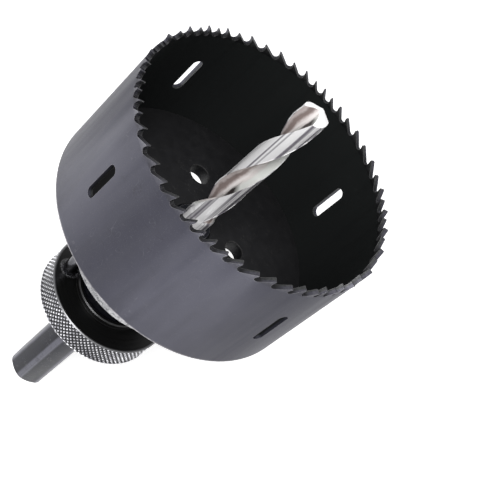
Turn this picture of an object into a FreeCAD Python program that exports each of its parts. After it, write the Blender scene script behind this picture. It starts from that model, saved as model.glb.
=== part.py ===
import FreeCAD, Part
import math
import os
import re

import Sketcher

# Hole saw on its arbor. The axis is +Z, the teeth point up and z = 0 is the end face of the hex
# shank. Angles are measured about +Z from +X. All sizes are millimetres or degrees.

sizes = {
    # Saw wall: a rolled strip with teeth along its upper edge
    "cup_diameter": 80,
    "wall_thickness": 1.4,
    "cup_height": 41.1,
    "cup_level": 92,
    "bottom_chamfer": 0.6,
    "slot_count": 4,
    "slot_length": 13,
    "slot_width": 3.1,
    "slot_level": 21.3,
    "slot_angle": 56,
    # Teeth: uneven pitch in equal groups, set outward and inward in turn
    "tooth_groups": 6,
    "teeth_per_group": 10,
    "pitch_swing": 0.22,
    "tooth_depth": 2.3,
    "tooth_set": 0.3,
    "gullet_radius": 0.95,
    "gullet_flat": 0.6,
    "gullet_facets": 3,
    "rake_lead": 0.5,
    "tip_land": 0.4,
    # Base plate, welded into the wall
    "plate_thickness": 4,
    "plate_recess": 0.4,
    "drive_circle": 30,
    "drive_angle": 25,
    "drive_hole": 5.8,
    "eject_circle": 39,
    "eject_angle": 117.5,
    "eject_hole": 6.4,
    # Arbor: hex shank, hub, flange, seat and threaded nose
    "shank_flats": 12,
    "shank_length": 42,
    "shank_corner": 13.2,
    "shank_chamfer": 1.3,
    "shank_angle": 33,
    "hub_diameter": 22,
    "hub_chamfer": 0.8,
    "flange_level": 70.4,
    "flange_diameter": 44,
    "flange_thickness": 8,
    "flange_chamfer": 0.5,
    "seat_diameter": 20,
    "nose_diameter": 12.7,
    "nose_stand": 1.2,
    "nose_chamfer": 0.7,
    "thread_clearance": 0.05,
    # Drive collar, which slides on the hub
    "collar_level": 46,
    "collar_diameter": 40,
    "collar_width": 8.4,
    "collar_chamfer": 0.3,
    "collar_boss": 24.6,
    "boss_height": 1.6,
    "boss_chamfer": 0.3,
    "running_clearance": 0.05,
    "travel_gap": 0.1,
    # Drive pins, pressed into the collar
    "pin_diameter": 4.8,
    "pin_seat": 7,
    "pin_chamfer": 0.5,
    "pin_depth_in_plate": 3.6,
    # Retaining ring behind the collar
    "ring_thickness": 1.2,
    "ring_diameter": 25.2,
    "ring_groove": 0.9,
    "ring_gap": 5,
    # Pilot drill and its set screw
    "drill_diameter": 8,
    "drill_length": 106.5,
    "drill_level": 47.5,
    "drill_clearance": 0.03,
    "point_angle": 118,
    "flute_length": 54,
    "flute_runout": 10,
    "flute_pitch": 65,
    "flute_radius": 2.3,
    "flute_flats": 12,
    "flute_phase": 144,
    "drill_web": 1.8,
    "drill_chamfer": 0.6,
    "flat_depth": 0.6,
    "flat_length": 9,
    "screw_level": 63.2,
    "screw_angle": 115,
    "screw_diameter": 6,
    "screw_length": 6.8,
    "screw_clearance": 0.05,
    "screw_chamfer": 0.6,
    "key_flats": 3,
    "key_depth": 3.2,
    # How far a cutter stands past what it cuts
    "overcut": 1,
}

document = FreeCAD.newDocument("hole_saw")
sheet = document.addObject("Spreadsheet::Sheet", "dims")
for row, (alias, number) in enumerate(sizes.items(), start=1):
    sheet.set(f"A{row}", alias)
    sheet.set(f"B{row}", str(number))
    sheet.setAlias(f"B{row}", alias)
document.recompute()


def bound(formula):
    """Put the sheet's name before every size in a formula."""
    return re.sub(r"[a-z_]+", lambda word: f"dims.{word[0]}" if word[0] in sizes else word[0], formula)


def value(formula):
    return float(sheet.evalExpression(bound(formula)))


def bind(item, **formulas):
    for name, formula in formulas.items():
        item.setExpression(name, bound(formula))


def newBody(label):
    body = document.addObject("PartDesign::Body", label)
    body.Label = label
    return body


def attach(item, body, role):
    """Put a sketch or prism on one of the body's own planes."""
    plane = next(origin for origin in body.Origin.OriginFeatures if origin.Role == role)
    item.AttachmentSupport = [(plane, "")]
    item.MapMode = "FlatFace"


def newSketch(body, name, role="XY_Plane", level=None, turn=None):
    """A sketch on one of the body's own planes, raised or turned about Z by a formula."""
    sketch = body.newObject("Sketcher::SketchObject", name)
    attach(sketch, body, role)
    if level:
        bind(sketch, **{".AttachmentOffset.Base.z": level})
    if turn:
        # In a sketch on the XZ plane the object's Z is the sketch's own Y
        sketch.AttachmentOffset = FreeCAD.Placement(FreeCAD.Vector(), FreeCAD.Vector(0, 1, 0), 0)
        bind(sketch, **{".AttachmentOffset.Rotation.Angle": turn})
    return sketch


def constrain(sketch, kind, place, formula):
    """One distance or radius, taken from the sheet."""
    number = sketch.addConstraint(Sketcher.Constraint(kind, *place, value(formula)))
    sketch.setExpression(f"Constraints[{number}]", bound(formula))


def fixPoint(sketch, edge, end, x, y):
    """Hold one end of an edge at two formulas, measured from the sketch's origin."""
    for kind, axis, formula in (("DistanceX", -2, x), ("DistanceY", -1, y)):
        if formula == "0":
            sketch.addConstraint(Sketcher.Constraint("PointOnObject", edge, end, axis))
        else:
            constrain(sketch, kind, (-1, 1, edge, end), formula)


def drawOutline(sketch, corners):
    """A closed outline of straight edges through corners given as pairs of formulas."""
    points = [FreeCAD.Vector(value(x), value(y), 0) for x, y in corners]
    count = len(points)
    for index in range(count):
        sketch.addGeometry(Part.LineSegment(points[index], points[(index + 1) % count]), False)
    for index, (x, y) in enumerate(corners):
        before = (index - 1) % count
        sketch.addConstraint(Sketcher.Constraint("Coincident", before, 2, index, 1))
        fixPoint(sketch, index, 1, x, y)


def drawCircle(sketch, diameter, x="0", y="0"):
    centre = FreeCAD.Vector(value(x), value(y), 0)
    edge = sketch.addGeometry(Part.Circle(centre, FreeCAD.Vector(0, 0, 1), value(diameter) / 2), False)
    fixPoint(sketch, edge, 3, x, y)
    constrain(sketch, "Diameter", (edge,), diameter)


def addFeature(body, kind, name, sketch=None, **settings):
    feature = body.newObject(f"PartDesign::{kind}", name)
    if sketch is not None:
        feature.Profile = sketch
    for key, setting in settings.items():
        setattr(feature, key, setting)
    body.Tip = feature
    return feature


def turned(body, kind, name, corners):
    """A profile in the XZ plane, revolved about the object's axis."""
    sketch = newSketch(body, f"{name}_profile", "XZ_Plane")
    drawOutline(sketch, corners)
    return addFeature(body, kind, name, sketch, ReferenceAxis=(sketch, ["V_Axis"]), Angle=360)


def pocketThrough(body, name, sketch):
    return addFeature(body, "Pocket", name, sketch, Type="ThroughAll", Midplane=True)


def ringOfCopies(body, name, originals, occurrences):
    axis = next(item for item in body.Origin.OriginFeatures if item.Role == "Z_Axis")
    pattern = addFeature(body, "PolarPattern", name, Originals=originals, Axis=(axis, [""]), Angle=360)
    bind(pattern, Occurrences=occurrences)
    return pattern


def holePair(body, name, diameter, circle, angle):
    """Two round holes through the body, opposite each other on a circle."""
    sketch = newSketch(body, f"{name}_sketch")
    drawCircle(sketch, diameter, f"{circle} / 2 * cos({angle})", f"{circle} / 2 * sin({angle})")
    hole = pocketThrough(body, name, sketch)
    return ringOfCopies(body, f"{name}_pair", [hole], "2")


# Levels that several pieces share
wallInside = "(cup_diameter / 2 - wall_thickness)"
plateBottom = "(cup_level + plate_recess)"
plateTop = "(cup_level + plate_recess + plate_thickness)"
rootLevel = "(cup_level + cup_height - tooth_depth)"
collarFront = "(collar_level + collar_width)"
bossFront = "(collar_level + collar_width + boss_height)"
collarTravel = "(flange_level - collar_level - collar_width - boss_height - travel_gap)"
pinTop = f"(cup_level + plate_recess + pin_depth_in_plate - {collarTravel})"
drillTop = "(drill_level + drill_length)"
ringLevel = "(collar_level - travel_gap - ring_thickness)"
flatRadius = "(drill_diameter / 2 - flat_depth)"


def sawStrip():
    """The wall up to the roots of the teeth, with its slots and bevelled lower edge."""
    body = newBody("saw_strip")
    sketch = newSketch(body, "strip_ring", level="cup_level")
    drawCircle(sketch, "cup_diameter")
    drawCircle(sketch, f"2 * {wallInside}")
    strip = addFeature(body, "Pad", "strip_pad", sketch)
    bind(strip, Length=f"{rootLevel} - cup_level")
    slot = newSketch(body, "slot_sketch", "XZ_Plane", turn="slot_angle - 90")
    drawSlot(slot, "slot_width", "slot_length", "cup_level + slot_level")
    opening = addFeature(body, "Pocket", "slot", slot, Type="ThroughAll")
    ringOfCopies(body, "slots", [opening], "slot_count")
    document.recompute()
    lower = lowestEdge(body.Shape, value("cup_diameter / 2"))
    bevelled = addFeature(body, "Chamfer", "lower_edge", Base=(body.Tip, [lower]))
    bind(bevelled, Size="bottom_chamfer")
    return body


def drawSlot(sketch, width, length, level):
    """An upright slot with round ends, centred on the sketch's vertical axis."""
    radius = value(width) / 2
    middle = value(level)
    reach = value(length) / 2 - radius
    across = FreeCAD.Vector(0, 0, 1)
    for sign in (1, -1):
        centre = FreeCAD.Vector(0, middle + sign * reach, 0)
        start = 0 if sign > 0 else math.pi
        circle = Part.Circle(centre, across, radius)
        arc = sketch.addGeometry(Part.ArcOfCircle(circle, start, start + math.pi), False)
        place = f"{level} {'+' if sign > 0 else '-'} ({length} - {width}) / 2"
        fixPoint(sketch, arc, 3, "0", place)
    for sign in (1, -1):
        low = FreeCAD.Vector(sign * radius, middle - reach, 0)
        high = FreeCAD.Vector(sign * radius, middle + reach, 0)
        sketch.addGeometry(Part.LineSegment(low, high), False)
    sketch.addConstraint(Sketcher.Constraint("Vertical", 2))
    sketch.addConstraint(Sketcher.Constraint("Tangent", 2, 2, 0, 1))
    sketch.addConstraint(Sketcher.Constraint("Tangent", 3, 2, 0, 2))
    sketch.addConstraint(Sketcher.Constraint("Tangent", 3, 1, 1, 1))
    sketch.addConstraint(Sketcher.Constraint("Tangent", 2, 1, 1, 2))
    constrain(sketch, "Radius", (0,), f"{width} / 2")


def lowestEdge(shape, radius):
    """Name of the lowest full circle of a given radius."""
    def rank(number):
        edge = shape.Edges[number]
        round_ = hasattr(edge.Curve, "Radius") and abs(edge.Curve.Radius - radius) < 0.01
        return (not round_, edge.CenterOfMass.z)
    return f"Edge{min(range(len(shape.Edges)), key=rank) + 1}"


def toothAngles():
    """Angle at each gullet: the pitch swells and shrinks once in every group."""
    groups = int(value("tooth_groups"))
    perGroup = int(value("teeth_per_group"))
    mean = 360 / (groups * perGroup)
    angles = [0.0]
    for index in range(groups * perGroup):
        swing = value("pitch_swing") * math.cos(2 * math.pi * index / perGroup)
        angles.append(angles[-1] + mean * (1 + swing))
    return angles


def toothBlanks(angles):
    """One leaning block for each tooth, from gullet to gullet, outward and inward in turn."""
    root = value(rootLevel)
    top = value("cup_level + cup_height")
    outer = value("cup_diameter / 2")
    inner = value(wallInside)
    blocks = []
    for index in range(len(angles) - 1):
        lean = value("tooth_set") * (1 if index % 2 else -1)
        corners = [(inner, root), (outer, root), (outer + lean, top), (inner + lean, top)]
        points = [FreeCAD.Vector(x, 0, z) for x, z in corners]
        section = Part.Face(Part.makePolygon(points + points[:1]))
        section.rotate(FreeCAD.Vector(), FreeCAD.Vector(0, 0, 1), angles[index])
        sweep = angles[index + 1] - angles[index]
        blocks.append(section.revolve(FreeCAD.Vector(), FreeCAD.Vector(0, 0, 1), sweep))
    return blocks


def gulletOutline(pitch):
    """Corners of one gullet, across and up: hooked rake face, rounded floor and straight back.

    The floor's middle is a flat in the strip's own top face, so no tooth starts with a step.
    """
    top = value("cup_level + cup_height")
    root = value(rootLevel)
    radius = value("gullet_radius")
    lead = value("rake_lead")
    facets = int(value("gullet_facets"))
    middle = value("cup_diameter / 2 - wall_thickness / 2")
    back = math.radians(pitch) * middle - lead - value("tip_land")
    half = math.asin(value("gullet_flat") / 2 / radius)
    centre = root + radius * math.cos(half)
    rise = top - centre
    first = math.atan2(rise, -lead) + math.acos(radius / math.hypot(lead, rise))
    last = 2 * math.pi + math.atan2(rise, back) - math.acos(radius / math.hypot(back, rise))
    down = 1.5 * math.pi
    turns = [first + (down - half - first) * facet / facets for facet in range(facets + 1)]
    turns += [down + half, last]
    corners = [(radius * math.cos(turn), centre + radius * math.sin(turn)) for turn in turns]
    above = 2 * top - root
    return corners + [(back, top), (back, above), (-lead, above), (-lead, top)]


def gulletCutter(pitch):
    middle = value("cup_diameter / 2 - wall_thickness / 2")
    reach = value("wall_thickness / 2 + tooth_set + overcut")
    corners = [FreeCAD.Vector(middle - reach, across, level) for across, level in gulletOutline(pitch)]
    outline = Part.makePolygon(corners + corners[:1])
    return Part.Face(outline).extrude(FreeCAD.Vector(2 * reach, 0, 0))


def gullets(angles):
    cutters = []
    for index, angle in enumerate(angles[:-1]):
        cutter = gulletCutter(angles[index + 1] - angle)
        cutter.rotate(FreeCAD.Vector(), FreeCAD.Vector(0, 0, 1), angle)
        cutters.append(cutter)
    return cutters


def plainFeature(label, shape):
    feature = document.addObject("Part::Feature", label)
    feature.Shape = shape
    feature.Placement = FreeCAD.Placement()
    return feature


def cutAway(label, base, tool):
    cut = document.addObject("Part::Cut", label)
    cut.Label = label
    cut.Base = base
    cut.Tool = tool
    return cut


def sawWall():
    angles = toothAngles()
    teeth = [plainFeature(f"tooth_{number}", block) for number, block in enumerate(toothBlanks(angles))]
    joined = document.addObject("Part::MultiFuse", "toothed_blank")
    joined.Shapes = [sawStrip()] + teeth
    return cutAway("saw_wall", joined, plainFeature("gullets", Part.Compound(gullets(angles))))


def basePlate():
    body = newBody("base_plate")
    sketch = newSketch(body, "plate_ring", level=plateBottom)
    drawCircle(sketch, f"2 * {wallInside}")
    drawCircle(sketch, "nose_diameter + 2 * thread_clearance")
    plate = addFeature(body, "Pad", "plate_pad", sketch)
    bind(plate, Length="plate_thickness")
    holePair(body, "drive_hole_pocket", "drive_hole", "drive_circle", "drive_angle")
    holePair(body, "eject_hole_pocket", "eject_hole", "eject_circle", "eject_angle")
    return body


def arborBody():
    """Turned from hex bar: shank, hub with ring groove, flange, seat, nose and drill bore."""
    body = newBody("arbor_turned")
    bore = "drill_diameter / 2 + drill_clearance"
    hub = "hub_diameter / 2"
    rim = "flange_diameter / 2"
    seat = "seat_diameter / 2"
    nose = "nose_diameter / 2"
    flangeTop = "(flange_level + flange_thickness)"
    noseTop = f"({plateTop} + nose_stand)"
    turned(body, "Revolution", "arbor_turning", [
        ("0", "shank_length"), (f"{hub} - hub_chamfer", "shank_length"), (hub, "shank_length + hub_chamfer"),
        (hub, ringLevel), (f"{hub} - ring_groove", ringLevel),
        (f"{hub} - ring_groove", f"{ringLevel} + ring_thickness"), (hub, f"{ringLevel} + ring_thickness"),
        (hub, "flange_level"), (f"{rim} - flange_chamfer", "flange_level"),
        (rim, "flange_level + flange_chamfer"), (rim, f"{flangeTop} - flange_chamfer"),
        (f"{rim} - flange_chamfer", flangeTop), (seat, flangeTop),
        (seat, plateBottom), (nose, plateBottom), (nose, f"{noseTop} - nose_chamfer"),
        (f"{nose} - nose_chamfer", noseTop), (bore, noseTop), (bore, "drill_level"), ("0", "drill_level"),
    ])
    shank = addFeature(body, "AdditivePrism", "hex_shank")
    attach(shank, body, "XY_Plane")
    bind(shank, Circumradius="shank_flats / 2 / cos(30)", Height="shank_length")
    shank.Polygon = 6
    bind(shank, **{".AttachmentOffset.Rotation.Angle": "shank_angle"})
    flat = "shank_flats / 2"
    clear = "shank_flats"
    turned(body, "Groove", "shank_turning", [
        (f"{flat} - shank_chamfer / 2", "0"), (clear, "0"), (clear, "shank_length"),
        ("shank_corner / 2", "shank_length"), ("shank_corner / 2", "shank_chamfer"),
    ])
    holePair(body, "pin_guide", "pin_diameter + 2 * running_clearance", "drive_circle", "drive_angle")
    return body


def driveCollar():
    body = newBody("drive_collar")
    bore = "hub_diameter / 2 + running_clearance"
    rim = "collar_diameter / 2"
    boss = "collar_boss / 2"
    turned(body, "Revolution", "collar_turning", [
        (bore, "collar_level"), (f"{rim} - collar_chamfer", "collar_level"),
        (rim, "collar_level + collar_chamfer"), (rim, f"{collarFront} - collar_chamfer"),
        (f"{rim} - collar_chamfer", collarFront), (boss, collarFront),
        (boss, f"{bossFront} - boss_chamfer"), (f"{boss} - boss_chamfer", bossFront), (bore, bossFront),
    ])
    holePair(body, "pin_seat_hole", "pin_diameter", "drive_circle", "drive_angle")
    return body


def drivePin(label, turn):
    """A dowel with a chamfered tip, standing in the collar and passing through the flange."""
    body = newBody(label)
    radius = "pin_diameter / 2"
    bottom = f"({collarFront} - pin_seat)"
    turned(body, "Revolution", f"{label}_turning", [
        ("0", bottom), (radius, bottom), (radius, f"{pinTop} - pin_chamfer"),
        (f"{radius} - pin_chamfer", pinTop), ("0", pinTop),
    ])
    bind(body, **{
        ".Placement.Base.x": f"drive_circle / 2 * cos(drive_angle + {turn})",
        ".Placement.Base.y": f"drive_circle / 2 * sin(drive_angle + {turn})",
    })
    return body


def retainingRing():
    """An open ring that snaps into the hub's groove and stops the collar behind."""
    body = newBody("retaining_ring")
    sketch = newSketch(body, "ring_sketch", level=ringLevel)
    drawCircle(sketch, "ring_diameter")
    drawCircle(sketch, "hub_diameter - 2 * ring_groove")
    ring = addFeature(body, "Pad", "ring_pad", sketch)
    bind(ring, Length="ring_thickness")
    mouth = newSketch(body, "mouth_sketch", "XZ_Plane")
    top = f"{ringLevel} + ring_thickness"
    half = "ring_gap / 2"
    drawOutline(mouth, [(f"0 - {half}", ringLevel), (half, ringLevel), (half, top), (f"0 - {half}", top)])
    addFeature(body, "Pocket", "ring_mouth", mouth, Type="ThroughAll")
    return body


def drillBlank():
    body = newBody("drill_blank")
    radius = "drill_diameter / 2"
    shoulder = f"{drillTop} - {radius} / tan(point_angle / 2)"
    turned(body, "Revolution", "drill_turning", [
        ("0", "drill_level"), (f"{radius} - drill_chamfer", "drill_level"),
        (radius, "drill_level + drill_chamfer"), (radius, shoulder), ("0", drillTop),
    ])
    return body


def fluteCutters():
    """Two round flutes twisted about the axis, lifted out of the drill by a cone at their end."""
    radius = value("flute_radius")
    flats = int(value("flute_flats"))
    middle = value("flute_radius + drill_web / 2")
    top = value(f"{drillTop} + overcut")
    bottom = value(f"{drillTop} - flute_length")
    height = top - bottom
    spine = Part.makePolygon([FreeCAD.Vector(0, 0, bottom), FreeCAD.Vector(0, 0, top)])
    guide = Part.makeHelix(value("flute_pitch"), height, value("drill_diameter"))
    guide.translate(FreeCAD.Vector(0, 0, bottom))
    shank = value("drill_diameter / 2 + overcut")
    runout = Part.makeCone(shank, value("drill_web") / 2, value("flute_runout"), FreeCAD.Vector(0, 0, bottom))
    cutters = []
    for turn in (0, 180):
        corners = []
        for flat in range(flats):
            angle = 2 * math.pi * (flat + 0.5) / flats
            outward = middle + radius * math.cos(angle)
            corners.append(FreeCAD.Vector(outward, radius * math.sin(angle), bottom))
        section = Part.makePolygon(corners + corners[:1])
        section.rotate(FreeCAD.Vector(), FreeCAD.Vector(0, 0, 1), value("flute_phase") + turn)
        pipe = Part.BRepOffsetAPI.MakePipeShell(spine)
        pipe.setAuxiliarySpine(guide, True, 0)
        pipe.add(section)
        pipe.build()
        pipe.makeSolid()
        cutters.append(pipe.shape().cut(runout))
    return cutters


def screwPlacement(distance):
    """On the set screw's line, a given distance out from the axis, with +Z pointing outward."""
    angle = value("screw_angle")
    outward = FreeCAD.Vector(math.cos(math.radians(angle)), math.sin(math.radians(angle)), 0)
    base = outward * distance + FreeCAD.Vector(0, 0, value("screw_level"))
    return FreeCAD.Placement(base, FreeCAD.Rotation(FreeCAD.Vector(0, 0, 1), outward))


def pilotDrill():
    fluted = cutAway("fluted_drill", drillBlank(), plainFeature("flutes", Part.Compound(fluteCutters())))
    flat = document.addObject("Part::Box", "drill_flat")
    bind(flat, Length="flat_length", Width="2 * drill_diameter", Height="drill_diameter")
    middle = screwPlacement(value(flatRadius))
    corner = FreeCAD.Vector(-value("flat_length") / 2, -value("drill_diameter"), 0)
    flat.Placement = middle.multiply(FreeCAD.Placement(corner, FreeCAD.Rotation()))
    return cutAway("pilot_drill", fluted, flat)


def setScrew():
    """Grub screw with a hex key socket, bearing on the flat of the drill."""
    body = newBody("set_screw")
    radius = "screw_diameter / 2"
    turned(body, "Revolution", "screw_turning", [
        ("0", "0"), (radius, "0"), (radius, "screw_length - screw_chamfer"),
        (f"{radius} - screw_chamfer", "screw_length"), ("0", "screw_length"),
    ])
    socket = addFeature(body, "SubtractivePrism", "key_socket")
    attach(socket, body, "XY_Plane")
    socket.Polygon = 6
    bind(socket, Circumradius="key_flats / 2 / cos(30)", Height="key_depth")
    bind(socket, **{".AttachmentOffset.Base.z": "screw_length - key_depth"})
    body.Placement = screwPlacement(value(flatRadius))
    return body


def boredArbor():
    """The arbor with the tapped hole for the set screw, from the drill bore to the hub."""
    hole = document.addObject("Part::Cylinder", "screw_hole")
    bind(hole, Radius="screw_diameter / 2 + screw_clearance", Height="hub_diameter / 2")
    hole.Placement = screwPlacement(0)
    return cutAway("arbor_body", arborBody(), hole)


def checkAndWrite(nodes):
    document.recompute()
    for item in document.Objects:
        if "Invalid" in item.State or "Error" in item.State:
            raise RuntimeError(f"{item.Label} failed: {item.State}")
    os.makedirs("parts", exist_ok=True)
    for name, node in nodes.items():
        shape = node.Shape
        if shape.isNull() or not shape.isValid():
            raise RuntimeError(f"{name} has no valid shape")
        print(name, "solids", len(shape.Solids), "volume", round(shape.Volume, 2))
        shape.exportStep(f"parts/{name}.step")


checkAndWrite({
    "saw_wall": sawWall(),
    "base_plate": basePlate(),
    "arbor_body": boredArbor(),
    "drive_collar": driveCollar(),
    "drive_pin_near": drivePin("drive_pin_near", "0"),
    "drive_pin_far": drivePin("drive_pin_far", "180"),
    "retaining_ring": retainingRing(),
    "pilot_drill": pilotDrill(),
    "set_screw": setScrew(),
})
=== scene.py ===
import math

import bmesh
import bpy
from mathutils import Matrix, Vector


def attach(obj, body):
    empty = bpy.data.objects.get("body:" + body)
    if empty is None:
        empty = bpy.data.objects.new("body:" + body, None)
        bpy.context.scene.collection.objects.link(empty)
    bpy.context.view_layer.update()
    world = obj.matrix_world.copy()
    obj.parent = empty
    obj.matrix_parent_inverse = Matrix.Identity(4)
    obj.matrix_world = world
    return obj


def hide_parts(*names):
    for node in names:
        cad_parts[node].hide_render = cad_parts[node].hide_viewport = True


# Hole saw on its arbor: teeth up, axis on Z. The scene is in metres, the sizes below in millimetres
# unless a note says otherwise.

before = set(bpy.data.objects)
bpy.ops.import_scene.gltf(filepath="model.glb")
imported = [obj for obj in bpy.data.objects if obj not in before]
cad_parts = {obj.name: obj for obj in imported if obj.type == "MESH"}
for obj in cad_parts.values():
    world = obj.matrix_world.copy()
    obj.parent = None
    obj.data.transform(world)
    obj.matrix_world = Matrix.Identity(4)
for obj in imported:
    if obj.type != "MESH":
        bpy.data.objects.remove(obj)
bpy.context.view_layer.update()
mm = 0.001
scene = bpy.context.scene


# Small helpers for meshes

# Points nearer than these are one, flats and edges count from these angles in degrees
meshLimits = {
    "weld": 0.001,
    "cadWeld": 0.002,
    "slack": 0.01,
    "flatAngle": 0.4,
    "edgeAngle": 30,
    "edgeSegments": 2,
}


def newPiece(name, mesh):
    piece = bpy.data.objects.new(name, mesh)
    scene.collection.objects.link(piece)
    return piece


def pieceFromBmesh(name, shape):
    bmesh.ops.remove_doubles(shape, verts=shape.verts, dist=meshLimits["weld"] * mm)
    bmesh.ops.recalc_face_normals(shape, faces=shape.faces)
    mesh = bpy.data.meshes.new(name)
    shape.to_mesh(mesh)
    shape.free()
    return newPiece(name, mesh)


# A copy of a CAD node with its loose triangles joined and flat areas cleared of needless edges
def mergedCopy(name, nodeName):
    shape = bmesh.new()
    shape.from_mesh(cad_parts[nodeName].data)
    bmesh.ops.remove_doubles(shape, verts=shape.verts, dist=meshLimits["cadWeld"] * mm)
    flatAngle = math.radians(meshLimits["flatAngle"])
    bmesh.ops.dissolve_limit(
        shape, angle_limit=flatAngle, verts=shape.verts, edges=shape.edges, delimit=set()
    )
    mesh = bpy.data.meshes.new(name)
    shape.to_mesh(mesh)
    shape.free()
    return newPiece(name, mesh)


def shadeByAngle(piece, degrees):
    mesh = piece.data
    for face in mesh.polygons:
        face.use_smooth = True
    mesh.set_sharp_from_angle(angle=math.radians(degrees))


def softenEdges(piece, width):
    bevel = piece.modifiers.new("softEdges", "BEVEL")
    bevel.width = width * mm
    bevel.segments = meshLimits["edgeSegments"]
    bevel.limit_method = "ANGLE"
    bevel.angle_limit = math.radians(meshLimits["edgeAngle"])
    bevel.harden_normals = True


def finishPiece(piece, body, material, nodeName):
    piece.data.materials.clear()
    piece.data.materials.append(material)
    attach(piece, body)
    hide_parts(nodeName)


# Small helpers for materials

# Linear colour from the usual 0 to 255 numbers
def colour(*numbers):
    shares = [number / 255 for number in numbers]
    linear = [share / 12.92 if share < 0.0405 else ((share + 0.055) / 1.055) ** 2.4 for share in shares]
    return (*linear, 1)


def addNode(tree, kind, inputs=None, **settings):
    node = tree.nodes.new(kind)
    for name, setting in settings.items():
        setattr(node, name, setting)
    for name, entry in (inputs or {}).items():
        if isinstance(entry, bpy.types.NodeSocket):
            tree.links.new(entry, node.inputs[name])
        else:
            node.inputs[name].default_value = entry
    return node


def calculate(tree, operation, *terms, clamp=False):
    inputs = dict(enumerate(terms))
    return addNode(tree, "ShaderNodeMath", inputs, operation=operation, use_clamp=clamp).outputs[0]


def times(tree, *terms):
    product = terms[0]
    for term in terms[1:]:
        product = calculate(tree, "MULTIPLY", product, term)
    return product


def vectorMath(tree, operation, *terms, output="Vector"):
    inputs = dict(enumerate(terms))
    return addNode(tree, "ShaderNodeVectorMath", inputs, operation=operation).outputs[output]


def rangeOf(tree, source, low, high, toLow=0.0, toHigh=1.0):
    inputs = {"Value": source, "From Min": low, "From Max": high, "To Min": toLow, "To Max": toHigh}
    return addNode(tree, "ShaderNodeMapRange", inputs).outputs["Result"]


# 1 between the two middle values, fading to 0 at the outer two
def windowOf(tree, source, start, begun, ending, end):
    return times(tree, rangeOf(tree, source, start, begun), rangeOf(tree, source, end, ending))


def mixColour(tree, factor, first, second):
    inputs = {0: factor, 6: first, 7: second}
    return addNode(tree, "ShaderNodeMix", inputs, data_type="RGBA").outputs[2]


# Object coordinates scaled so that one unit is a millimetre
def millimetres(tree):
    place = addNode(tree, "ShaderNodeTexCoord").outputs["Object"]
    return addNode(tree, "ShaderNodeMapping", {"Vector": place, "Scale": (1000, 1000, 1000)}).outputs[0]


def noiseOf(tree, vector, scale, detail=2.0, roughness=0.5):
    inputs = {"Vector": vector, "Scale": scale, "Detail": detail, "Roughness": roughness}
    return addNode(tree, "ShaderNodeTexNoise", inputs).outputs[0]


# Noise cut between two of its values: the looks below list scale, detail, roughness and the two values
def patchesOf(tree, vector, scale, detail, roughness, low, high):
    return rangeOf(tree, noiseOf(tree, vector, scale, detail, roughness), low, high)


def separated(tree, vector):
    return addNode(tree, "ShaderNodeSeparateXYZ", {0: vector}).outputs


# Distance from the object's axis and height above its foot, in millimetres
def radiusOf(tree):
    place = separated(tree, millimetres(tree))
    flat = addNode(tree, "ShaderNodeCombineXYZ", {"X": place["X"], "Y": place["Y"]}).outputs[0]
    return vectorMath(tree, "LENGTH", flat, output="Value"), place["Z"]


def bumpOf(tree, height, distance, strength=1.0, normal=None):
    inputs = {"Height": height, "Distance": distance * mm, "Strength": strength}
    if normal is not None:
        inputs["Normal"] = normal
    return addNode(tree, "ShaderNodeBump", inputs).outputs[0]


def newGroup(name, inputs, outputs):
    tree = bpy.data.node_groups.new(name, "ShaderNodeTree")
    for label, start in inputs.items():
        socket = tree.interface.new_socket(label, in_out="INPUT", socket_type="NodeSocketFloat")
        socket.default_value = start
    for label in outputs:
        tree.interface.new_socket(label, in_out="OUTPUT", socket_type="NodeSocketFloat")
    return tree, tree.nodes.new("NodeGroupInput").outputs, tree.nodes.new("NodeGroupOutput").inputs


def useGroup(tree, group, **inputs):
    node = addNode(tree, "ShaderNodeGroup", node_tree=group)
    for name, start in inputs.items():
        node.inputs[name].default_value = start
    return node.outputs


def newMaterial(name):
    material = bpy.data.materials.new(name)
    material.use_nodes = True
    tree = material.node_tree
    return material, tree, tree.nodes["Principled BSDF"]


# Effects that several finishes share

effectLook = {
    "edgeLikeness": (0.985, 0.86),
    "edgePatches": (0.9, 4, 0.7, 0.35, 0.6),
    "speckNoise": (3, 0.75),
    "speckLimit": 0.75,
    "speckReach": 0.35,
    "speckGain": 9.0,
    "scratchNoise": (0.8, 2, 0.4),
    "scratchBreaks": (0.25, 2, 0.5, 0.48, 0.62),
    "turningNoise": (3, 0.7),
}


# Bare edges: where a rounded normal leaves the true one, broken up by noise
def makeEdgeWear(look):
    tree, given, out = newGroup("edgeWear", {"reach": 0.0004, "patchiness": 0.5}, ["mask"])
    rounded = addNode(tree, "ShaderNodeBevel", {"Radius": given["reach"]}, samples=4).outputs[0]
    own = addNode(tree, "ShaderNodeNewGeometry").outputs["Normal"]
    likeness = vectorMath(tree, "DOT_PRODUCT", rounded, own, output="Value")
    edge = rangeOf(tree, likeness, *look["edgeLikeness"])
    patches = patchesOf(tree, millimetres(tree), *look["edgePatches"])
    kept = calculate(tree, "SUBTRACT", 1.0, given["patchiness"])
    broken = calculate(tree, "MULTIPLY_ADD", patches, given["patchiness"], kept)
    tree.links.new(calculate(tree, "MULTIPLY", edge, broken, clamp=True), out["mask"])
    return tree


# Tiny grains of a dry coat
def makeSpecks(look):
    tree, given, out = newGroup("coatSpecks", {"size": 0.3, "amount": 0.4}, ["mask", "height"])
    scale = calculate(tree, "DIVIDE", 1.0, given["size"])
    grain = noiseOf(tree, millimetres(tree), scale, *look["speckNoise"])
    limit = calculate(tree, "MULTIPLY_ADD", given["amount"], -look["speckReach"], look["speckLimit"])
    above = calculate(tree, "SUBTRACT", grain, limit)
    tree.links.new(calculate(tree, "MULTIPLY", above, look["speckGain"], clamp=True), out["mask"])
    tree.links.new(grain, out["height"])
    return tree


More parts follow.
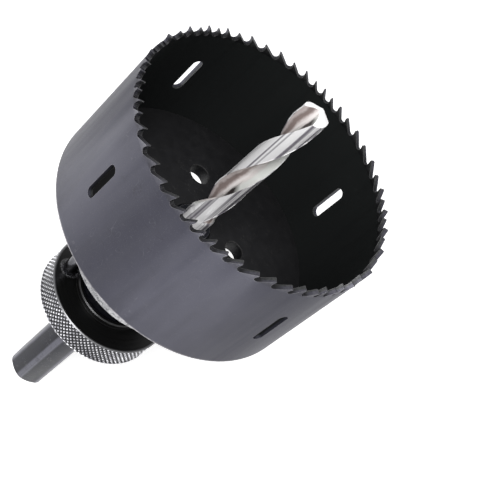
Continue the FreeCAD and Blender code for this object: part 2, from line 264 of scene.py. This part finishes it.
# Thin scuffs where a stretched noise crosses its middle value
def makeScratches(look):
    tree, given, out = newGroup("scratches", {"width": 0.012, "across": 1.0, "along": 0.12}, ["mask"])
    place = millimetres(tree)
    stretch = {"X": given["across"], "Y": given["across"], "Z": given["along"]}
    stretch = addNode(tree, "ShaderNodeCombineXYZ", stretch).outputs[0]
    field = noiseOf(tree, vectorMath(tree, "MULTIPLY", place, stretch), *look["scratchNoise"])
    gap = calculate(tree, "ABSOLUTE", calculate(tree, "SUBTRACT", field, 0.5))
    line = calculate(tree, "SUBTRACT", 1.0, calculate(tree, "DIVIDE", gap, given["width"]), clamp=True)
    broken = patchesOf(tree, place, *look["scratchBreaks"])
    tree.links.new(calculate(tree, "MULTIPLY", line, broken, clamp=True), out["mask"])
    return tree


# Rings left by the lathe: noise that runs along the radius and the height only
def makeTurning(look):
    tree, given, out = newGroup("turningMarks", {"pitch": 0.2}, ["height"])
    radius, level = radiusOf(tree)
    line = addNode(tree, "ShaderNodeCombineXYZ", {"X": radius, "Y": level}).outputs[0]
    scale = calculate(tree, "DIVIDE", 1.0, given["pitch"])
    tree.links.new(noiseOf(tree, line, scale, *look["turningNoise"]), out["height"])
    return tree


edgeWear = makeEdgeWear(effectLook)
coatSpecks = makeSpecks(effectLook)
scratches = makeScratches(effectLook)
turningMarks = makeTurning(effectLook)


# Finishes

cupCoatLook = {
    "outside": colour(46, 46, 55),
    "outsideLight": colour(51, 51, 60),
    "inside": colour(37, 39, 39),
    "bareOrPaintedLight": colour(150, 148, 150),
    "smudge": colour(30, 30, 34),
    "gullet": colour(20, 20, 22),
    "clouds": (0.07, 4, 0.6, 0.35, 0.7),
    "smudges": 0.35,
    "specks": 0.1,
    "lines": 0.1,
    "insideRadii": (39.3, 39.1),
    "gulletRadii": (40.0, 39.85),
    "gulletLevels": (130.6, 130.7, 131.2, 132.3),
    "gulletPatches": (0.7, 3, 0.6, 0.3, 0.55),
    "tipLevels": (130.7, 132.5),
    "tipPatches": (1.5, 3, 0.7, 0.3, 0.6),
    "tipWear": 0.12,
    "footLevels": (93.1, 92.7),
    "footPatches": (0.4, 3, 0.6, 0.3, 0.5),
    "footWear": 0.8,
    "edgeWear": 0.5,
    "metallic": 0.5,
    "roughness": (0.36, 0.48),
    "wornSmoother": -0.2,
    "grainDepth": 0.03,
    "lineDepth": -0.01,
    "edgeTint": (0.45, 0.45, 0.47, 1),
}


# Dry dark coat, nearly black inside the cup, with painted shade darkening the gullets between the teeth,
# worn to steel at edges and tooth tips
def makeCupCoat(look):
    material, tree, shader = newMaterial("cupCoat")
    place = millimetres(tree)
    radius, level = radiusOf(tree)
    clouds = patchesOf(tree, place, *look["clouds"])
    coat = mixColour(tree, clouds, look["outside"], look["outsideLight"])
    smudges = useGroup(tree, scratches, width=0.014, across=0.12, along=0.5)["mask"]
    coat = mixColour(tree, times(tree, smudges, look["smudges"]), coat, look["smudge"])
    specks = useGroup(tree, coatSpecks, size=0.28, amount=0.5)
    coat = mixColour(tree, times(tree, specks["mask"], look["specks"]), coat, look["bareOrPaintedLight"])
    lines = useGroup(tree, scratches, width=0.005, across=0.35, along=0.12)["mask"]
    coat = mixColour(tree, times(tree, lines, look["lines"]), coat, look["bareOrPaintedLight"])
    coat = mixColour(tree, rangeOf(tree, radius, *look["insideRadii"]), coat, look["inside"])
    # Painted shade: the gullet floors between the teeth are darkened toward near black, in patches
    gullets = times(
        tree, windowOf(tree, level, *look["gulletLevels"]), rangeOf(tree, radius, *look["gulletRadii"]),
        patchesOf(tree, place, *look["gulletPatches"]),
    )
    coat = mixColour(tree, gullets, coat, look["gullet"])
    worn = useGroup(tree, edgeWear, reach=0.00018, patchiness=0.4)["mask"]
    tips = times(tree, rangeOf(tree, level, *look["tipLevels"]), patchesOf(tree, place, *look["tipPatches"]))
    foot = rangeOf(tree, level, *look["footLevels"])
    foot = times(tree, foot, patchesOf(tree, place, *look["footPatches"]), look["footWear"])
    wear = times(tree, worn, look["edgeWear"])
    wear = calculate(tree, "MAXIMUM", wear, times(tree, tips, look["tipWear"]))
    wear = calculate(tree, "MAXIMUM", wear, foot)
    tree.links.new(mixColour(tree, wear, coat, look["bareOrPaintedLight"]), shader.inputs["Base Color"])
    rough = rangeOf(tree, specks["height"], 0.3, 0.7, *look["roughness"])
    rough = calculate(tree, "MULTIPLY_ADD", wear, look["wornSmoother"], rough)
    tree.links.new(rough, shader.inputs["Roughness"])
    tree.links.new(calculate(tree, "MAXIMUM", wear, look["metallic"]), shader.inputs["Metallic"])
    shader.inputs["Specular Tint"].default_value = look["edgeTint"]
    normal = bumpOf(tree, specks["height"], look["grainDepth"], 0.4)
    tree.links.new(bumpOf(tree, lines, look["lineDepth"], 0.3, normal), shader.inputs["Normal"])
    return material


# What all turned steels share
steelTexture = {
    "stains": (0.35, 4, 0.6, 0.35, 0.68),
    "lineWear": 0.25,
    "ringRough": 0.12,
    "stainRough": 0.08,
    "grainNoise": (6.0, 2, 0.6),
    "grainDepth": 0.01,
}


# Turned steel with a black or bright finish: rings, stains and worn edges
def makeSteel(name, look, texture):
    material, tree, shader = newMaterial(name)
    place = millimetres(tree)
    stains = patchesOf(tree, place, *texture["stains"])
    base = mixColour(tree, stains, look["dark"], look["light"])
    lines = useGroup(tree, scratches, width=0.018, across=0.8, along=0.9)["mask"]
    worn = useGroup(tree, edgeWear, reach=0.0003, patchiness=0.35)["mask"]
    lineWear = times(tree, lines, texture["lineWear"] * look["wear"])
    wear = calculate(tree, "MAXIMUM", times(tree, worn, look["wear"]), lineWear)
    tree.links.new(mixColour(tree, wear, base, look["bareOrPaintedLight"]), shader.inputs["Base Color"])
    rings = useGroup(tree, turningMarks, pitch=look["ringPitch"])["height"]
    middle = look["roughness"] - texture["ringRough"] / 2
    rough = calculate(tree, "MULTIPLY_ADD", rings, texture["ringRough"], middle)
    rough = calculate(tree, "MULTIPLY_ADD", stains, texture["stainRough"], rough)
    tree.links.new(rough, shader.inputs["Roughness"])
    shader.inputs["Metallic"].default_value = look["metallic"]
    shader.inputs["Specular IOR Level"].default_value = look["shine"]
    grain = noiseOf(tree, place, *texture["grainNoise"])
    normal = bumpOf(tree, rings, look["ringDepth"], 0.6)
    tree.links.new(bumpOf(tree, grain, texture["grainDepth"], 0.3, normal), shader.inputs["Normal"])
    return material


# Bands over the arbor's black finish: coarse bare steel on the flange rim, and a painted highlight along the
# shank's turned corners; each gives its colour, radii, levels, the noise's scale, its two values and the
# bump's depth
bareAndHighlightBands = {
    "flangeRim": {
        "bareOrPaintedLight": colour(150, 150, 152), "radii": (21.4, 21.8), "levels": (70.2, 70.5),
        "grain": 0.9, "patches": (0.3, 0.56), "depth": 0.12,
    },
    # Painted highlight: a lighter strip along the shank's turned hex corners
    "shankCornerHighlight": {
        "bareOrPaintedLight": colour(84, 84, 93), "radii": (6.34, 6.56), "levels": (42.0, 41.8),
        "grain": 0.35, "patches": (0.15, 0.5), "depth": 0.02,
    },
}

# Painted shade: the plate's coat gets darker toward its rim, where it meets the wall
plateRimShade = {
    "bareOrPaintedLight": colour(8, 8, 9), "radii": (20.0, 46.0), "levels": (80.0, 81.0),
    "grain": 0.8, "patches": (0.0, 0.3), "depth": 0.01,
}


# Lays another colour over a finish, between two radii and two levels
def addColourBand(material, look):
    tree = material.node_tree
    shader = tree.nodes["Principled BSDF"]
    radius, level = radiusOf(tree)
    band = times(tree, rangeOf(tree, radius, *look["radii"]), rangeOf(tree, level, *look["levels"]))
    rough = noiseOf(tree, millimetres(tree), look["grain"], 5, 0.75)
    patches = times(tree, band, rangeOf(tree, rough, *look["patches"]))
    under = shader.inputs["Base Color"].links[0].from_socket
    tree.links.new(mixColour(tree, patches, under, look["bareOrPaintedLight"]), shader.inputs["Base Color"])
    normal = shader.inputs["Normal"].links[0].from_socket
    normal = bumpOf(tree, times(tree, band, rough), look["depth"], 0.8, normal)
    tree.links.new(normal, shader.inputs["Normal"])


knurlLook = {
    "valleyShade": colour(12, 12, 14),
    "ridge": colour(138, 138, 144),
    "crestHighlight": colour(248, 248, 250),
    "face": colour(50, 50, 50),
    "ring": colour(112, 112, 114),
    "knurlLevels": (46.35, 54.05),
    "endFade": 0.06,
    "knurlRadii": (19.62, 19.98),
    "ridgePower": 1.6,
    "crestHighlightPower": 4.0,
    "crestHighlightPatches": (0.45, 3, 0.6, 0.35, 0.65),
    "faceRadii": (19.42, 19.27),
    "faceWear": 0.55,
    "pinCircle": 15.0,
    "pinAngle": 25.0,
    "stakeRadii": (3.5, 2.8),
    "stakeChips": (1.6, 4, 0.7, 0.48, 0.6),
    "stakeNoise": (1.1, 3, 0.6),
    "stakeDepth": 0.8,
    "ringPitch": 0.35,
    "ringDepth": 0.02,
    "metallic": 0.85,
    "roughness": (0.26, 0.36),
}


# Black finish down in the knurl, darkened further as painted shade in its valleys, worn bright along its
# ridges with painted highlights on the crests; the pins' feet are staked
def makeKnurlFinish(look):
    material, tree, shader = newMaterial("knurlOxide")
    place = millimetres(tree)
    radius, level = radiusOf(tree)
    # Painted shade: the knurl darkens toward its valleys, below the colour of its worn ridges
    height = rangeOf(tree, radius, *look["knurlRadii"])
    ridges = calculate(tree, "POWER", height, look["ridgePower"])
    base = mixColour(tree, ridges, look["valleyShade"], look["ridge"])
    # Painted highlight: near-white patches on the knurl's crests
    crestHighlights = calculate(tree, "POWER", height, look["crestHighlightPower"])
    crestHighlights = times(tree, crestHighlights, patchesOf(tree, place, *look["crestHighlightPatches"]))
    base = mixColour(tree, crestHighlights, base, look["crestHighlight"])
    low, high = look["knurlLevels"]
    above = rangeOf(tree, level, high, high + look["endFade"])
    below = rangeOf(tree, level, low, low - look["endFade"])
    ends = calculate(tree, "MAXIMUM", above, below)
    base = mixColour(tree, ends, base, look["ring"])
    onFace = rangeOf(tree, radius, *look["faceRadii"])
    base = mixColour(tree, onFace, base, look["face"])
    stakes = stakedFeet(tree, place, look)
    chips = times(tree, stakes, patchesOf(tree, place, *look["stakeChips"]))
    base = mixColour(tree, chips, base, look["ridge"])
    edge = useGroup(tree, edgeWear, reach=0.00025, patchiness=0.5)["mask"]
    base = mixColour(tree, times(tree, edge, onFace, look["faceWear"]), base, look["ridge"])
    tree.links.new(base, shader.inputs["Base Color"])
    rings = useGroup(tree, turningMarks, pitch=look["ringPitch"])["height"]
    tree.links.new(rangeOf(tree, rings, 0.3, 0.7, *look["roughness"]), shader.inputs["Roughness"])
    shader.inputs["Metallic"].default_value = look["metallic"]
    normal = bumpOf(tree, times(tree, rings, onFace), look["ringDepth"], 0.5)
    dents = times(tree, stakes, noiseOf(tree, place, *look["stakeNoise"]))
    tree.links.new(bumpOf(tree, dents, look["stakeDepth"], 0.9, normal), shader.inputs["Normal"])
    return material


# 1 on the face close round both pins, fading outward
def stakedFeet(tree, place, look):
    angle = math.radians(look["pinAngle"])
    flat = vectorMath(tree, "MULTIPLY", place, (1, 1, 0))
    along = vectorMath(tree, "DOT_PRODUCT", flat, (math.cos(angle), math.sin(angle), 0), output="Value")
    outward = calculate(tree, "SUBTRACT", calculate(tree, "ABSOLUTE", along), look["pinCircle"])
    reach = calculate(tree, "POWER", vectorMath(tree, "LENGTH", flat, output="Value"), 2.0)
    sideways = calculate(tree, "SUBTRACT", reach, calculate(tree, "POWER", along, 2.0))
    distance = calculate(tree, "SQRT", calculate(tree, "MULTIPLY_ADD", outward, outward, sideways))
    return rangeOf(tree, distance, *look["stakeRadii"])


drillLook = {
    "landDarkReflection": colour(122, 118, 126),
    "landBrightReflection": colour(252, 251, 252),
    "flute": colour(220, 208, 206),
    "fluteGlint": colour(253, 247, 245),
    "heelReflection": colour(224, 226, 222),
    "fluteShade": colour(158, 142, 138),
    "fluteDarkReflection": colour(34, 29, 28),
    "radius": 4.0,
    "landRadii": (3.62, 3.74),
    "pitch": 65.0,
    "foot": 100.0,
    "phase": 144.0,
    "reflectionStreaks": (0.62, 2, 0.6, 0.43, 0.53),
    "reflectionStretch": (1, 1, 0.012),
    "wanderNoise": (0.25, 3, 0.6),
    "wander": 0.5,
    "shadeBand": (-0.75, -0.6, -0.4, -0.2),
    "glintBand": (-0.3, 0.0, 0.1, 0.4),
    "heelReflectionBand": (0.15, 0.5),
    "darkReflectionBand": (0.28, 0.48),
    "darkReflectionTurns": (-94.0, -84.0, -72.0, -60.0),
    "pointHighlightFacing": (0.5, 0.65),
    "metallic": 0.2,
    "roughness": 0.3,
    "grindPitch": 0.16,
    "grindRough": 0.14,
    "grindDepth": 0.004,
}


# Bright drill with painted reflections: light and dark streaks along the ground lands, and a painted glint,
# painted shade and dark reflection spots in bands that follow the ground flutes
def makeDrillFinish(look):
    material, tree, shader = newMaterial("brightSteel")
    place = millimetres(tree)
    radius, level = radiusOf(tree)
    parts = separated(tree, place)
    angle = calculate(tree, "ARCTAN2", parts["Y"], parts["X"])
    # Painted reflections: light and dark streaks along the lands
    drawnOut = vectorMath(tree, "MULTIPLY", place, look["reflectionStretch"])
    reflectionStreaks = patchesOf(tree, drawnOut, *look["reflectionStreaks"])
    land = mixColour(tree, reflectionStreaks, look["landDarkReflection"], look["landBrightReflection"])
    # Where a point lies across its flute: -1 at the upper edge, 0 at the floor, 1 at the heel
    climb = times(tree, calculate(tree, "SUBTRACT", level, look["foot"]), 2 * math.pi / look["pitch"])
    turn = calculate(tree, "SUBTRACT", angle, climb)
    turn = calculate(tree, "SUBTRACT", turn, math.radians(look["phase"]))
    across = calculate(tree, "SINE", times(tree, turn, 2.0))
    across = times(tree, across, calculate(tree, "DIVIDE", radius, look["radius"]))
    uneven = calculate(tree, "SUBTRACT", noiseOf(tree, place, *look["wanderNoise"]), 0.5)
    across = calculate(tree, "MULTIPLY_ADD", uneven, look["wander"], across)
    # Painted reflections across each flute: a lighter heel, a band of painted shade, a painted glint and
    # dark reflection spots on the side facing one way
    flute = mixColour(tree, rangeOf(tree, across, *look["heelReflectionBand"]), look["flute"], look["heelReflection"])
    flute = mixColour(tree, windowOf(tree, across, *look["shadeBand"]), flute, look["fluteShade"])
    flute = mixColour(tree, windowOf(tree, across, *look["glintBand"]), flute, look["fluteGlint"])
    darkReflections = windowOf(tree, angle, *(math.radians(turned) for turned in look["darkReflectionTurns"]))
    darkReflections = times(tree, darkReflections, rangeOf(tree, across, *look["darkReflectionBand"]))
    flute = mixColour(tree, darkReflections, flute, look["fluteDarkReflection"])
    base = mixColour(tree, rangeOf(tree, radius, *look["landRadii"]), flute, land)
    # Painted highlight: the point's faces, which look up, get the lands' bright colour; everything else
    # looks to the side
    facing = separated(tree, addNode(tree, "ShaderNodeTexCoord").outputs["Normal"])["Z"]
    base = mixColour(tree, rangeOf(tree, facing, *look["pointHighlightFacing"]), base, look["landBrightReflection"])
    tree.links.new(base, shader.inputs["Base Color"])
    grind = useGroup(tree, turningMarks, pitch=look["grindPitch"])["height"]
    middle = look["roughness"] - look["grindRough"] / 2
    rough = calculate(tree, "MULTIPLY_ADD", grind, look["grindRough"], middle)
    tree.links.new(rough, shader.inputs["Roughness"])
    shader.inputs["Metallic"].default_value = look["metallic"]
    tree.links.new(bumpOf(tree, grind, look["grindDepth"], 0.6), shader.inputs["Normal"])
    return material


steelLooks = {
    "plateCoat": {
        "dark": colour(17, 17, 19), "light": colour(25, 25, 27), "bareOrPaintedLight": colour(110, 108, 106),
        "metallic": 0.1, "shine": 0.25, "roughness": 0.55, "wear": 0.5,
        "ringPitch": 0.5, "ringDepth": 0.02,
    },
    "blackOxide": {
        "dark": colour(50, 52, 59), "light": colour(62, 64, 71), "bareOrPaintedLight": colour(190, 188, 186),
        "metallic": 0.7, "shine": 0.5, "roughness": 0.36, "wear": 0.6,
        "ringPitch": 0.25, "ringDepth": 0.015,
    },
    "arborOxide": {
        "dark": colour(19, 20, 27), "light": colour(27, 28, 37), "bareOrPaintedLight": colour(180, 178, 180),
        "metallic": 0.7, "shine": 0.5, "roughness": 0.3, "wear": 0.6,
        "ringPitch": 0.25, "ringDepth": 0.015,
    },
    "pinSteel": {
        "dark": colour(70, 70, 74), "light": colour(96, 96, 100), "bareOrPaintedLight": colour(230, 228, 228),
        "metallic": 1.0, "shine": 0.5, "roughness": 0.12, "wear": 0.7,
        "ringPitch": 0.3, "ringDepth": 0.01,
    },
    "springSteel": {
        "dark": colour(70, 70, 76), "light": colour(100, 100, 106), "bareOrPaintedLight": colour(190, 190, 190),
        "metallic": 0.9, "shine": 0.5, "roughness": 0.34, "wear": 0.6,
        "ringPitch": 0.4, "ringDepth": 0.01,
    },
}

finishes = {name: makeSteel(name, look, steelTexture) for name, look in steelLooks.items()}
for band in bareAndHighlightBands.values():
    addColourBand(finishes["arborOxide"], band)
addColourBand(finishes["plateCoat"], plateRimShade)
finishes["cupCoat"] = makeCupCoat(cupCoatLook)
finishes["knurlOxide"] = makeKnurlFinish(knurlLook)
finishes["brightSteel"] = makeDrillFinish(drillLook)
print("finishes made")


# Pieces that keep the CAD shape, with softened edges

plainAngle = 25  # edges sharper than this many degrees stay crisp
plainPieces = {
    "sawWall": {
        "node": "saw_wall", "body": "saw", "slot": "cup_coat", "finish": "cupCoat", "round": 0.12,
    },
    "basePlate": {
        "node": "base_plate", "body": "saw", "slot": "cup_coat", "finish": "plateCoat", "round": 0.15,
    },
    "arbor": {
        "node": "arbor_body", "body": "saw", "slot": "black_oxide", "finish": "arborOxide", "round": 0.2,
    },
    "drivePinNear": {
        "node": "drive_pin_near", "body": "collar", "slot": "pin_steel", "finish": "pinSteel", "round": 0.1,
    },
    "drivePinFar": {
        "node": "drive_pin_far", "body": "collar", "slot": "pin_steel", "finish": "pinSteel", "round": 0.1,
    },
    "retainingRing": {
        "node": "retaining_ring", "body": "saw", "slot": "spring_steel", "finish": "springSteel",
        "round": 0.12,
    },
    "setScrew": {
        "node": "set_screw", "body": "saw", "slot": "black_oxide", "finish": "blackOxide", "round": 0.1,
    },
}

for name, s in plainPieces.items():
    piece = mergedCopy(name, s["node"])
    shadeByAngle(piece, plainAngle)
    softenEdges(piece, s["round"])
    finishPiece(piece, s["body"], finishes[s["finish"]], s["node"])
print("plain pieces dressed")


# The sliding collar, knurled round its rim

collarSizes = {
    "level": 46.0,
    "width": 8.4,
    "rim": 20.0,
    "bore": 11.05,
    "boreChamfers": (0.3, 0.2),
    "chamfer": 0.3,
    "boss": 12.3,
    "bossHeight": 1.6,
    "bossChamfer": 0.3,
    "knurlCount": 88,
    "knurlPitch": 1.8,
    "knurlDepth": 0.42,
    "knurlFlat": 1.2,
    "knurlMargin": 0.05,
    "stepsPerKnurl": 8,
    "rows": 48,
    "crispAngle": 20,
}


def triangleWave(turns):
    return 2 * abs(turns - math.floor(turns) - 0.5)


def makeCollar(s):
    front = s["level"] + s["width"]
    top = front + s["bossHeight"]
    low = s["level"] + s["chamfer"]
    high = front - s["chamfer"]
    below, above = s["boreChamfers"]
    corners = [
        (s["bore"], s["level"] + below), (s["bore"] + below, s["level"]),
        (s["rim"] - s["chamfer"], s["level"]), (s["rim"], low),
        (s["rim"], high), (s["rim"] - s["chamfer"], front),
        (s["boss"], front), (s["boss"], top - s["bossChamfer"]), (s["boss"] - s["bossChamfer"], top),
        (s["bore"] + above, top), (s["bore"], top - above),
    ]
    shape = bmesh.new()
    verts = [shape.verts.new((x * mm, 0, z * mm)) for x, z in corners]
    edges = [shape.edges.new((verts[n - 1], verts[n])) for n in range(len(verts))]
    rimEdge = edges[4]
    bmesh.ops.subdivide_edges(shape, edges=[rimEdge], cuts=s["rows"] - 1)
    bmesh.ops.spin(
        shape, geom=shape.verts[:] + shape.edges[:], cent=(0, 0, 0), axis=(0, 0, 1), angle=2 * math.pi,
        steps=s["knurlCount"] * s["stepsPerKnurl"], use_merge=True,
    )
    margin = s["knurlMargin"]
    for vert in shape.verts:
        radius = math.hypot(vert.co.x, vert.co.y) / mm
        z = vert.co.z / mm
        onRim = radius > s["rim"] - meshLimits["slack"] and low + margin < z < high - margin
        if not onRim:
            continue
        turns = math.atan2(vert.co.y, vert.co.x) / (2 * math.pi) * s["knurlCount"]
        rise = (z - low) / s["knurlPitch"]
        height = min(1, s["knurlFlat"] * min(triangleWave(turns + rise), triangleWave(turns - rise)))
        inward = 1 - s["knurlDepth"] * (1 - height) / radius
        vert.co.x *= inward
        vert.co.y *= inward
    return pieceFromBmesh("driveCollar", shape)


collar = makeCollar(collarSizes)
shadeByAngle(collar, collarSizes["crispAngle"])
finishPiece(collar, "collar", finishes["knurlOxide"], "drive_collar")
print("collar made")


# The pilot drill: one section swept up a right-hand helix

drillSizes = {
    "radius": 4.0,
    "clearedRadius": 3.86,
    "marginTurn": 12.0,
    "level": 47.5,
    "length": 106.5,
    "chamfer": 0.6,
    "fluteLength": 54.0,
    "runout": 10.0,
    "runoutStart": 5.0,
    "pitch": 65.0,
    "fluteRadius": 2.3,
    "web": 1.8,
    "phase": 144.0,
    "pointAngle": 118.0,
    "relief": 0.22,
    "sectionPoints": 180,
    "sweepSteps": 200,
    "crowding": 1.7,
    "crispAngle": 30,
}


# How far a flute reaches to each side of its middle, in degrees
def fluteHalfTurn(s):
    centre = s["fluteRadius"] + s["web"] / 2
    cosine = (s["radius"] ** 2 + centre ** 2 - s["fluteRadius"] ** 2) / (2 * s["radius"] * centre)
    return math.degrees(math.acos(cosine))


# Radius of the fluted section at an angle from the first flute's middle
def sectionRadius(s, turn):
    centre = s["fluteRadius"] + s["web"] / 2
    edgeTurn = fluteHalfTurn(s)
    best = s["radius"]
    for middle in (0, 180):
        away = math.radians(turn - middle)
        side = centre * math.sin(away)
        if math.cos(away) > 0 and abs(side) < s["fluteRadius"]:
            best = min(best, centre * math.cos(away) - math.sqrt(s["fluteRadius"] ** 2 - side ** 2))
    fromFlute = turn % 180
    onLand = edgeTurn < fromFlute < 180 - edgeTurn
    if onLand and fromFlute < 180 - edgeTurn - s["marginTurn"]:
        best = min(best, s["clearedRadius"])
    return best


# Slope of the point: it falls away behind each lip, from the land's leading edge to its heel
def pointSlope(s, turn):
    edgeTurn = fluteHalfTurn(s)
    behind = (180 - edgeTurn - turn % 180) / (180 - 2 * edgeTurn)
    behind = min(1, max(0, behind))
    return 1 / math.tan(math.radians(s["pointAngle"] / 2)) + s["relief"] * behind


def makeDrill(s):
    tip = s["level"] + s["length"]
    bottom = tip - s["fluteLength"]
    turnPerMm = 360 / s["pitch"]
    # A stack of circles 1 mm high, where the height stands for the share of the fluted length
    shape = bmesh.new()
    bmesh.ops.create_circle(shape, segments=s["sectionPoints"], radius=s["radius"] * mm)
    bmesh.ops.spin(
        shape, geom=shape.verts[:] + shape.edges[:], cent=(0, 0, 0), axis=(0, 0, 1),
        angle=0, steps=s["sweepSteps"], dvec=(0, 0, mm / s["sweepSteps"]),
    )
    # The rows crowd together toward the point and each is turned to follow the helix
    for vert in shape.verts:
        share = 1 - (1 - min(1, vert.co.z / mm)) ** s["crowding"]
        z = bottom + s["fluteLength"] * share
        turn = math.degrees(math.atan2(vert.co.y, vert.co.x))
        cut = sectionRadius(s, turn % 360)
        climb = min(1, (z - bottom) / s["runout"])
        cone = s["runoutStart"] * (1 - climb) + s["web"] / 2 * climb
        point = max(0.0, (tip - z) / pointSlope(s, turn))
        radius = min(s["radius"], max(cut, cone), point)
        angle = math.radians(turn + s["phase"] + (z - bottom) * turnPerMm)
        vert.co = (radius * mm * math.cos(angle), radius * mm * math.sin(angle), z * mm)
    # Below the flutes the round shank is drawn down from the last row, then its chamfer
    rim = [edge for edge in shape.edges if edge.is_boundary]
    lowest = (bottom + meshLimits["slack"]) * mm
    rim = [edge for edge in rim if all(vert.co.z < lowest for vert in edge.verts)]
    shankDrop = bottom - s["level"] - s["chamfer"]
    for drop, share in ((shankDrop, 1.0), (s["chamfer"], 1 - s["chamfer"] / s["radius"])):
        grown = bmesh.ops.extrude_edge_only(shape, edges=rim)["geom"]
        moved = [item for item in grown if isinstance(item, bmesh.types.BMVert)]
        rim = [item for item in grown if isinstance(item, bmesh.types.BMEdge)]
        rim = [edge for edge in rim if all(vert in moved for vert in edge.verts)]
        bmesh.ops.translate(shape, verts=moved, vec=(0, 0, -drop * mm))
        bmesh.ops.scale(shape, verts=moved, vec=(share, share, 1))
    bmesh.ops.contextual_create(shape, geom=rim)
    return pieceFromBmesh("pilotDrill", shape)


drill = makeDrill(drillSizes)
shadeByAngle(drill, drillSizes["crispAngle"])
finishPiece(drill, "saw", finishes["brightSteel"], "pilot_drill")
print("pilot drill made")


# Floor, light and camera

# The floor's half width is in metres; its own glow grows between the two distances, in millimetres
stageSizes = {
    "floorHalf": 6.0,
    "floorColour": colour(250, 250, 250),
    "floorRoughness": 0.9,
    "floorGlow": 0.7,
    "glowReach": (110.0, 420.0),
    "skyColour": colour(255, 255, 255),
    "skyLight": 0.14,
}

# A softbox high in front: direction from the target in degrees, distance and size in metres, power in watts
softboxSizes = {
    "turn": 262, "rise": 52, "away": 0.8, "size": (0.45, 0.45), "power": 8.6, "target": (0, 0, 0.11),
}

# Two bright boards lying on the floor, mirrored as soft bands down the cup's side
boardSizes = {
    "leftBoard": {"turn": 200, "away": 0.16, "level": 0.003, "size": (0.12, 0.14), "power": 0.15},
    "rightBoard": {"turn": 303, "away": 0.17, "level": 0.003, "size": (0.13, 0.17), "power": 0.24},
}

# Where the photo was taken from: place and nearest sight in metres, the picture's three directions,
# lens and sensor in millimetres
photoView = {
    "place": (-0.00108, -0.23422, 0.30597),
    "right": (0.6595, 0.4592, 0.5952),
    "up": (-0.7497, 0.4599, 0.4758),
    "back": (-0.0553, -0.7600, 0.6476),
    "lens": 81.32,
    "sensor": 36,
    "nearest": 0.01,
}


# 1 for the rays that look straight, in a mirror or through glass at the white surroundings
def seenDirectly(tree):
    path = addNode(tree, "ShaderNodeLightPath").outputs
    mirrored = calculate(tree, "MAXIMUM", path["Is Glossy Ray"], path["Is Transmission Ray"])
    return calculate(tree, "MAXIMUM", path["Is Camera Ray"], mirrored)


def makeFloor(s):
    shape = bmesh.new()
    bmesh.ops.create_grid(shape, x_segments=2, y_segments=2, size=s["floorHalf"])
    floor = pieceFromBmesh("floor", shape)
    material, tree, shader = newMaterial("paleFloor")
    shader.inputs["Base Color"].default_value = s["floorColour"]
    shader.inputs["Roughness"].default_value = s["floorRoughness"]
    shader.inputs["Emission Color"].default_value = (1, 1, 1, 1)
    glow = rangeOf(tree, radiusOf(tree)[0], *s["glowReach"], s["floorGlow"], 1.0)
    tree.links.new(times(tree, seenDirectly(tree), glow), shader.inputs["Emission Strength"])
    floor.data.materials.append(material)


def makeWorld(s):
    world = bpy.data.worlds.new("softRoom")
    world.use_nodes = True
    tree = world.node_tree
    ground = tree.nodes["Background"]
    ground.inputs["Color"].default_value = s["skyColour"]
    share = calculate(tree, "MULTIPLY_ADD", seenDirectly(tree), 1 - s["skyLight"], s["skyLight"])
    tree.links.new(share, ground.inputs["Strength"])
    scene.world = world


def newLamp(name, s):
    lamp = bpy.data.lights.new(name, "AREA")
    lamp.shape = "RECTANGLE"
    lamp.size, lamp.size_y = s["size"]
    lamp.energy = s["power"]
    holder = bpy.data.objects.new(name, lamp)
    scene.collection.objects.link(holder)
    return holder


def addSoftbox(name, s):
    turn = math.radians(s["turn"])
    rise = math.radians(s["rise"])
    outward = Vector((math.cos(turn) * math.cos(rise), math.sin(turn) * math.cos(rise), math.sin(rise)))
    holder = newLamp(name, s)
    holder.location = Vector(s["target"]) + outward * s["away"]
    holder.rotation_euler = outward.to_track_quat("Z", "Y").to_euler()


def addBoard(name, s):
    turn = math.radians(s["turn"])
    holder = newLamp(name, s)
    holder.location = (s["away"] * math.cos(turn), s["away"] * math.sin(turn), s["level"])
    holder.rotation_euler = (math.pi, 0, turn)
    holder.visible_camera = False


def makeCamera(view):
    camera = bpy.data.cameras.new("photoCamera")
    camera.sensor_width = view["sensor"]
    camera.lens = view["lens"]
    camera.clip_start = view["nearest"]
    holder = bpy.data.objects.new("photoCamera", camera)
    scene.collection.objects.link(holder)
    columns = Matrix((view["right"], view["up"], view["back"])).transposed()
    holder.matrix_world = Matrix.Translation(view["place"]) @ columns.to_4x4()
    scene.camera = holder


makeFloor(stageSizes)
makeWorld(stageSizes)
addSoftbox("frontLight", softboxSizes)
for name, s in boardSizes.items():
    addBoard(name, s)
makeCamera(photoView)
scene.view_settings.view_transform = "Standard"

print("stage and camera ready")
